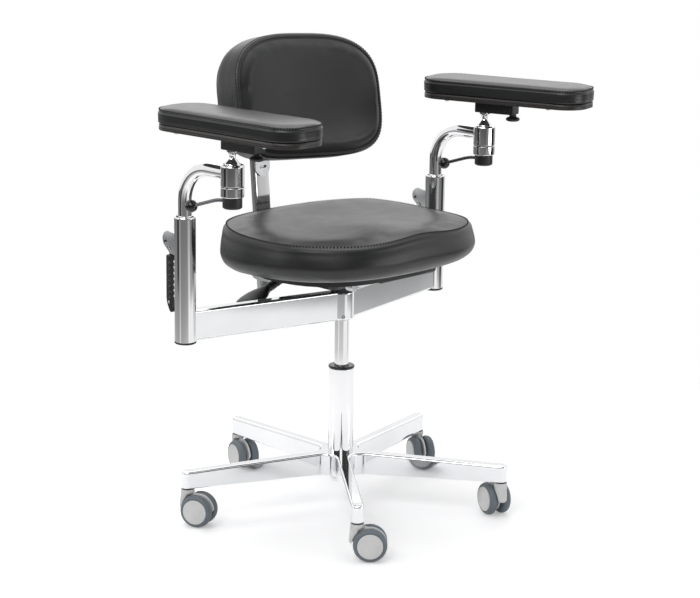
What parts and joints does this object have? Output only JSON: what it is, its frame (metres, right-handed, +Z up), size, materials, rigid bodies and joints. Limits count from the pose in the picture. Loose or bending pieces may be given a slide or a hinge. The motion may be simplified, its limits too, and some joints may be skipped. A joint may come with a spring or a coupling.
{
  "type": "microscope chair",
  "caption": "Swivel work chair with a saddle-topped seat, a tilting backrest on a leaning bar and ball-jointed arm pads on a yoke, on a star base with twin-wheel casters.",
  "frame": {"origin": "on the floor under the middle of the whole chair's box", "axes": "+Z up, -Y the way the sitter faces, +X the sitter's left"},
  "size_m": [0.8504, 0.6356, 0.9226],
  "materials": {
    "polished_aluminium": "polished",
    "chrome": "mirror bright",
    "satin_steel": "satin",
    "black_plastic": "moulded, half matte",
    "black_gloss": "glossy",
    "charcoal_leatherette": "fine grain, half matte",
    "grey_tyre": "matte",
    "light_grey_plastic": "moulded, half matte",
    "black_board": "matte"
  },
  "bodies": {
    "base": {"star_base": "polished_aluminium", "column_tube": "chrome", "guide_bush": "black_plastic"},
    "rod": {"piston_rod": "satin_steel"},
    "seat": {"lift_tube": "chrome", "yoke": "polished_aluminium", "seat_mechanism": "black_plastic", "seat_board": "black_board", "seat_cushion": "charcoal_leatherette", "back_bracket": "polished_aluminium", "right_post": "chrome", "right_post_cap": "black_plastic", "right_lever_plate": "satin_steel", "left_post": "chrome", "left_post_cap": "black_plastic", "left_lever_plate": "satin_steel"},
    "caster_1": {"caster_1_fork": "light_grey_plastic"},
    "caster_1_a": {"caster_1_wheel_a": "grey_tyre"},
    "caster_1_b": {"caster_1_wheel_b": "grey_tyre"},
    "caster_2": {"caster_2_fork": "light_grey_plastic"},
    "caster_2_a": {"caster_2_wheel_a": "grey_tyre"},
    "caster_2_b": {"caster_2_wheel_b": "grey_tyre"},
    "caster_3": {"caster_3_fork": "light_grey_plastic"},
    "caster_3_a": {"caster_3_wheel_a": "grey_tyre"},
    "caster_3_b": {"caster_3_wheel_b": "grey_tyre"},
    "caster_4": {"caster_4_fork": "light_grey_plastic"},
    "caster_4_a": {"caster_4_wheel_a": "grey_tyre"},
    "caster_4_b": {"caster_4_wheel_b": "grey_tyre"},
    "caster_5": {"caster_5_fork": "light_grey_plastic"},
    "caster_5_a": {"caster_5_wheel_a": "grey_tyre"},
    "caster_5_b": {"caster_5_wheel_b": "grey_tyre"},
    "height_lever": {"height_lever": "satin_steel"},
    "tilt_paddle": {"tilt_paddle": "black_plastic"},
    "back_bar": {"back_bar": "chrome"},
    "back_carrier": {"back_carrier": "satin_steel"},
    "backrest": {"back_board": "black_board", "back_cushion": "charcoal_leatherette"},
    "right_guide": {"right_arm_guide": "black_plastic"},
    "right_arm": {"right_arm_tube": "chrome"},
    "right_clamp": {"right_clamp_collar": "black_plastic", "right_clamp_knob": "black_gloss"},
    "right_cup": {"right_ball_cup": "black_plastic"},
    "right_stud": {"right_ball_stud": "chrome", "right_slide_block": "black_plastic"},
    "right_pad": {"right_pad_board": "black_board", "right_pad_cushion": "charcoal_leatherette"},
    "right_knob": {"right_slide_knob": "black_plastic"},
    "right_squeeze": {"right_squeeze_lever": "black_plastic"},
    "left_guide": {"left_arm_guide": "black_plastic"},
    "left_arm": {"left_arm_tube": "chrome"},
    "left_clamp": {"left_clamp_collar": "black_plastic", "left_clamp_knob": "black_gloss"},
    "left_cup": {"left_ball_cup": "black_plastic"},
    "left_stud": {"left_ball_stud": "chrome", "left_slide_block": "black_plastic"},
    "left_pad": {"left_pad_board": "black_board", "left_pad_cushion": "charcoal_leatherette"},
    "left_knob": {"left_slide_knob": "black_plastic"},
    "left_squeeze": {"left_squeeze_lever": "black_plastic"}
  },
  "joints": [
    {"name": "seat_swivel", "type": "hinge", "parent": "base", "child": "rod", "pos_m": [-0.02195, -0.01499, 0.07], "axis": [0, 0, 1], "continuous": true},
    {"name": "seat_height", "type": "slide", "parent": "rod", "child": "seat", "axis": [0, 0, 1], "range_m": [-0.07, 0.05]},
    {"name": "caster_1_swivel", "type": "hinge", "parent": "base", "child": "caster_1", "pos_m": [-0.22247, -0.26437, 0.075], "axis": [0, 0, 1], "continuous": true},
    {"name": "caster_1_roll_a", "type": "hinge", "parent": "caster_1", "child": "caster_1_a", "pos_m": [-0.21031, -0.28615, 0.03201], "axis": [0.7071, 0.7071, 0], "continuous": true},
    {"name": "caster_1_roll_b", "type": "hinge", "parent": "caster_1", "child": "caster_1_b", "pos_m": [-0.20069, -0.27654, 0.03201], "axis": [0.7071, 0.7071, 0], "continuous": true},
    {"name": "caster_2_swivel", "type": "hinge", "parent": "base", "child": "caster_2", "pos_m": [0.15327, -0.28275, 0.075], "axis": [0, 0, 1], "continuous": true},
    {"name": "caster_2_roll_a", "type": "hinge", "parent": "caster_2", "child": "caster_2_a", "pos_m": [0.16786, -0.26252, 0.03201], "axis": [-0.9397, 0.342, 0], "continuous": true},
    {"name": "caster_2_roll_b", "type": "hinge", "parent": "caster_2", "child": "caster_2_b", "pos_m": [0.15508, -0.25787, 0.03201], "axis": [-0.9397, 0.342, 0], "continuous": true},
    {"name": "caster_3_swivel", "type": "hinge", "parent": "base", "child": "caster_3", "pos_m": [0.28685, 0.06892, 0.075], "axis": [0, 0, 1], "continuous": true},
    {"name": "caster_3_roll_a", "type": "hinge", "parent": "caster_3", "child": "caster_3_a", "pos_m": [0.2699, 0.05062, 0.03201], "axis": [0.891, -0.454, 0], "continuous": true},
    {"name": "caster_3_roll_b", "type": "hinge", "parent": "caster_3", "child": "caster_3_b", "pos_m": [0.28201, 0.04444, 0.03201], "axis": [0.891, -0.454, 0], "continuous": true},
    {"name": "caster_4_swivel", "type": "hinge", "parent": "base", "child": "caster_4", "pos_m": [-0.00632, 0.30463, 0.075], "axis": [0, 0, 1], "continuous": true},
    {"name": "caster_4_roll_a", "type": "hinge", "parent": "caster_4", "child": "caster_4_a", "pos_m": [-0.0191, 0.28321, 0.03201], "axis": [0.9659, -0.2588, 0], "continuous": true},
    {"name": "caster_4_roll_b", "type": "hinge", "parent": "caster_4", "child": "caster_4_b", "pos_m": [-0.00597, 0.27969, 0.03201], "axis": [0.9659, -0.2588, 0], "continuous": true},
    {"name": "caster_5_swivel", "type": "hinge", "parent": "base", "child": "caster_5", "pos_m": [-0.3211, 0.09865, 0.075], "axis": [0, 0, 1], "continuous": true},
    {"name": "caster_5_roll_a", "type": "hinge", "parent": "caster_5", "child": "caster_5_a", "pos_m": [-0.31712, 0.07402, 0.03201], "axis": [0.9063, 0.4226, 0], "continuous": true},
    {"name": "caster_5_roll_b", "type": "hinge", "parent": "caster_5", "child": "caster_5_b", "pos_m": [-0.30479, 0.07977, 0.03201], "axis": [0.9063, 0.4226, 0], "continuous": true},
    {"name": "height_lever_lift", "type": "hinge", "parent": "seat", "child": "height_lever", "pos_m": [-0.05196, -0.06999, 0.4568], "axis": [0, -1, 0], "range_deg": [0, 2.5], "stiffness_Nm_per_rad": 8, "springref_deg": -8.02},
    {"name": "tilt_paddle_turn", "type": "hinge", "parent": "seat", "child": "tilt_paddle", "pos_m": [-0.07086, 0.09001, 0.4548], "axis": [0, 1, 0], "range_deg": [-5, 10]},
    {"name": "back_recline", "type": "hinge", "parent": "seat", "child": "back_bar", "pos_m": [-0.02195, 0.20671, 0.4398], "axis": [1, 0, 0], "range_deg": [-12, 4]},
    {"name": "back_height", "type": "slide", "parent": "back_bar", "child": "back_carrier", "axis": [0, 0.0924, 0.9957], "range_m": [-0.03, 0.05]},
    {"name": "back_tilt", "type": "hinge", "parent": "back_carrier", "child": "backrest", "pos_m": [-0.02195, 0.16888, 0.78979], "axis": [1, 0, 0], "range_deg": [-10, 10]},
    {"name": "right_arm_height", "type": "slide", "parent": "seat", "child": "right_guide", "axis": [0, 0, 1], "range_m": [-0.03, 0.08]},
    {"name": "right_arm_swing", "type": "hinge", "parent": "right_guide", "child": "right_arm", "pos_m": [-0.35896, 0.05901, 0.6], "axis": [0, 0, 1], "range_deg": [-30, 30]},
    {"name": "right_clamp_turn", "type": "hinge", "parent": "right_arm", "child": "right_clamp", "pos_m": [-0.35896, -0.07199, 0.658], "axis": [0, 0, 1], "range_deg": [-45, 45]},
    {"name": "right_pad_swivel", "type": "hinge", "parent": "right_arm", "child": "right_cup", "pos_m": [-0.35896, -0.07199, 0.722], "axis": [0, 0, 1], "range_deg": [-35, 35]},
    {"name": "right_pad_tilt", "type": "hinge", "parent": "right_cup", "child": "right_stud", "pos_m": [-0.35896, -0.07199, 0.722], "axis": [0.9982, 0.0593, 0], "range_deg": [-12, 12]},
    {"name": "right_pad_slide", "type": "slide", "parent": "right_stud", "child": "right_pad", "axis": [0.0593, -0.9982, 0], "range_m": [-0.016, 0.064]},
    {"name": "right_knob_turn", "type": "hinge", "parent": "right_stud", "child": "right_knob", "pos_m": [-0.35531, -0.13338, 0.762], "axis": [0, 0, 1], "range_deg": [-90, 90]},
    {"name": "right_squeeze_pull", "type": "hinge", "parent": "seat", "child": "right_squeeze", "pos_m": [-0.35896, 0.11251, 0.5603], "axis": [-1, 0, 0], "range_deg": [0, 4], "stiffness_Nm_per_rad": 2, "springref_deg": -12.03},
    {"name": "left_arm_height", "type": "slide", "parent": "seat", "child": "left_guide", "axis": [0, 0, 1], "range_m": [-0.03, 0.08]},
    {"name": "left_arm_swing", "type": "hinge", "parent": "left_guide", "child": "left_arm", "pos_m": [0.31505, 0.05901, 0.6], "axis": [0, 0, 1], "range_deg": [-30, 30]},
    {"name": "left_clamp_turn", "type": "hinge", "parent": "left_arm", "child": "left_clamp", "pos_m": [0.31505, -0.07199, 0.6615], "axis": [0, 0, 1], "range_deg": [-45, 45]},
    {"name": "left_pad_swivel", "type": "hinge", "parent": "left_arm", "child": "left_cup", "pos_m": [0.31505, -0.07199, 0.7255], "axis": [0, 0, 1], "range_deg": [-35, 35]},
    {"name": "left_pad_tilt", "type": "hinge", "parent": "left_cup", "child": "left_stud", "pos_m": [0.31505, -0.07199, 0.7255], "axis": [0.9613, 0.2756, 0], "range_deg": [-12, 12]},
    {"name": "left_pad_slide", "type": "slide", "parent": "left_stud", "child": "left_pad", "axis": [0.2756, -0.9613, 0], "range_m": [-0.049, 0.031]},
    {"name": "left_knob_turn", "type": "hinge", "parent": "left_stud", "child": "left_knob", "pos_m": [0.332, -0.1311, 0.7655], "axis": [0, 0, 1], "range_deg": [-90, 90]},
    {"name": "left_squeeze_pull", "type": "hinge", "parent": "seat", "child": "left_squeeze", "pos_m": [0.31505, 0.11251, 0.5603], "axis": [-1, 0, 0], "range_deg": [0, 4], "stiffness_Nm_per_rad": 2, "springref_deg": -12.03}
  ]
}
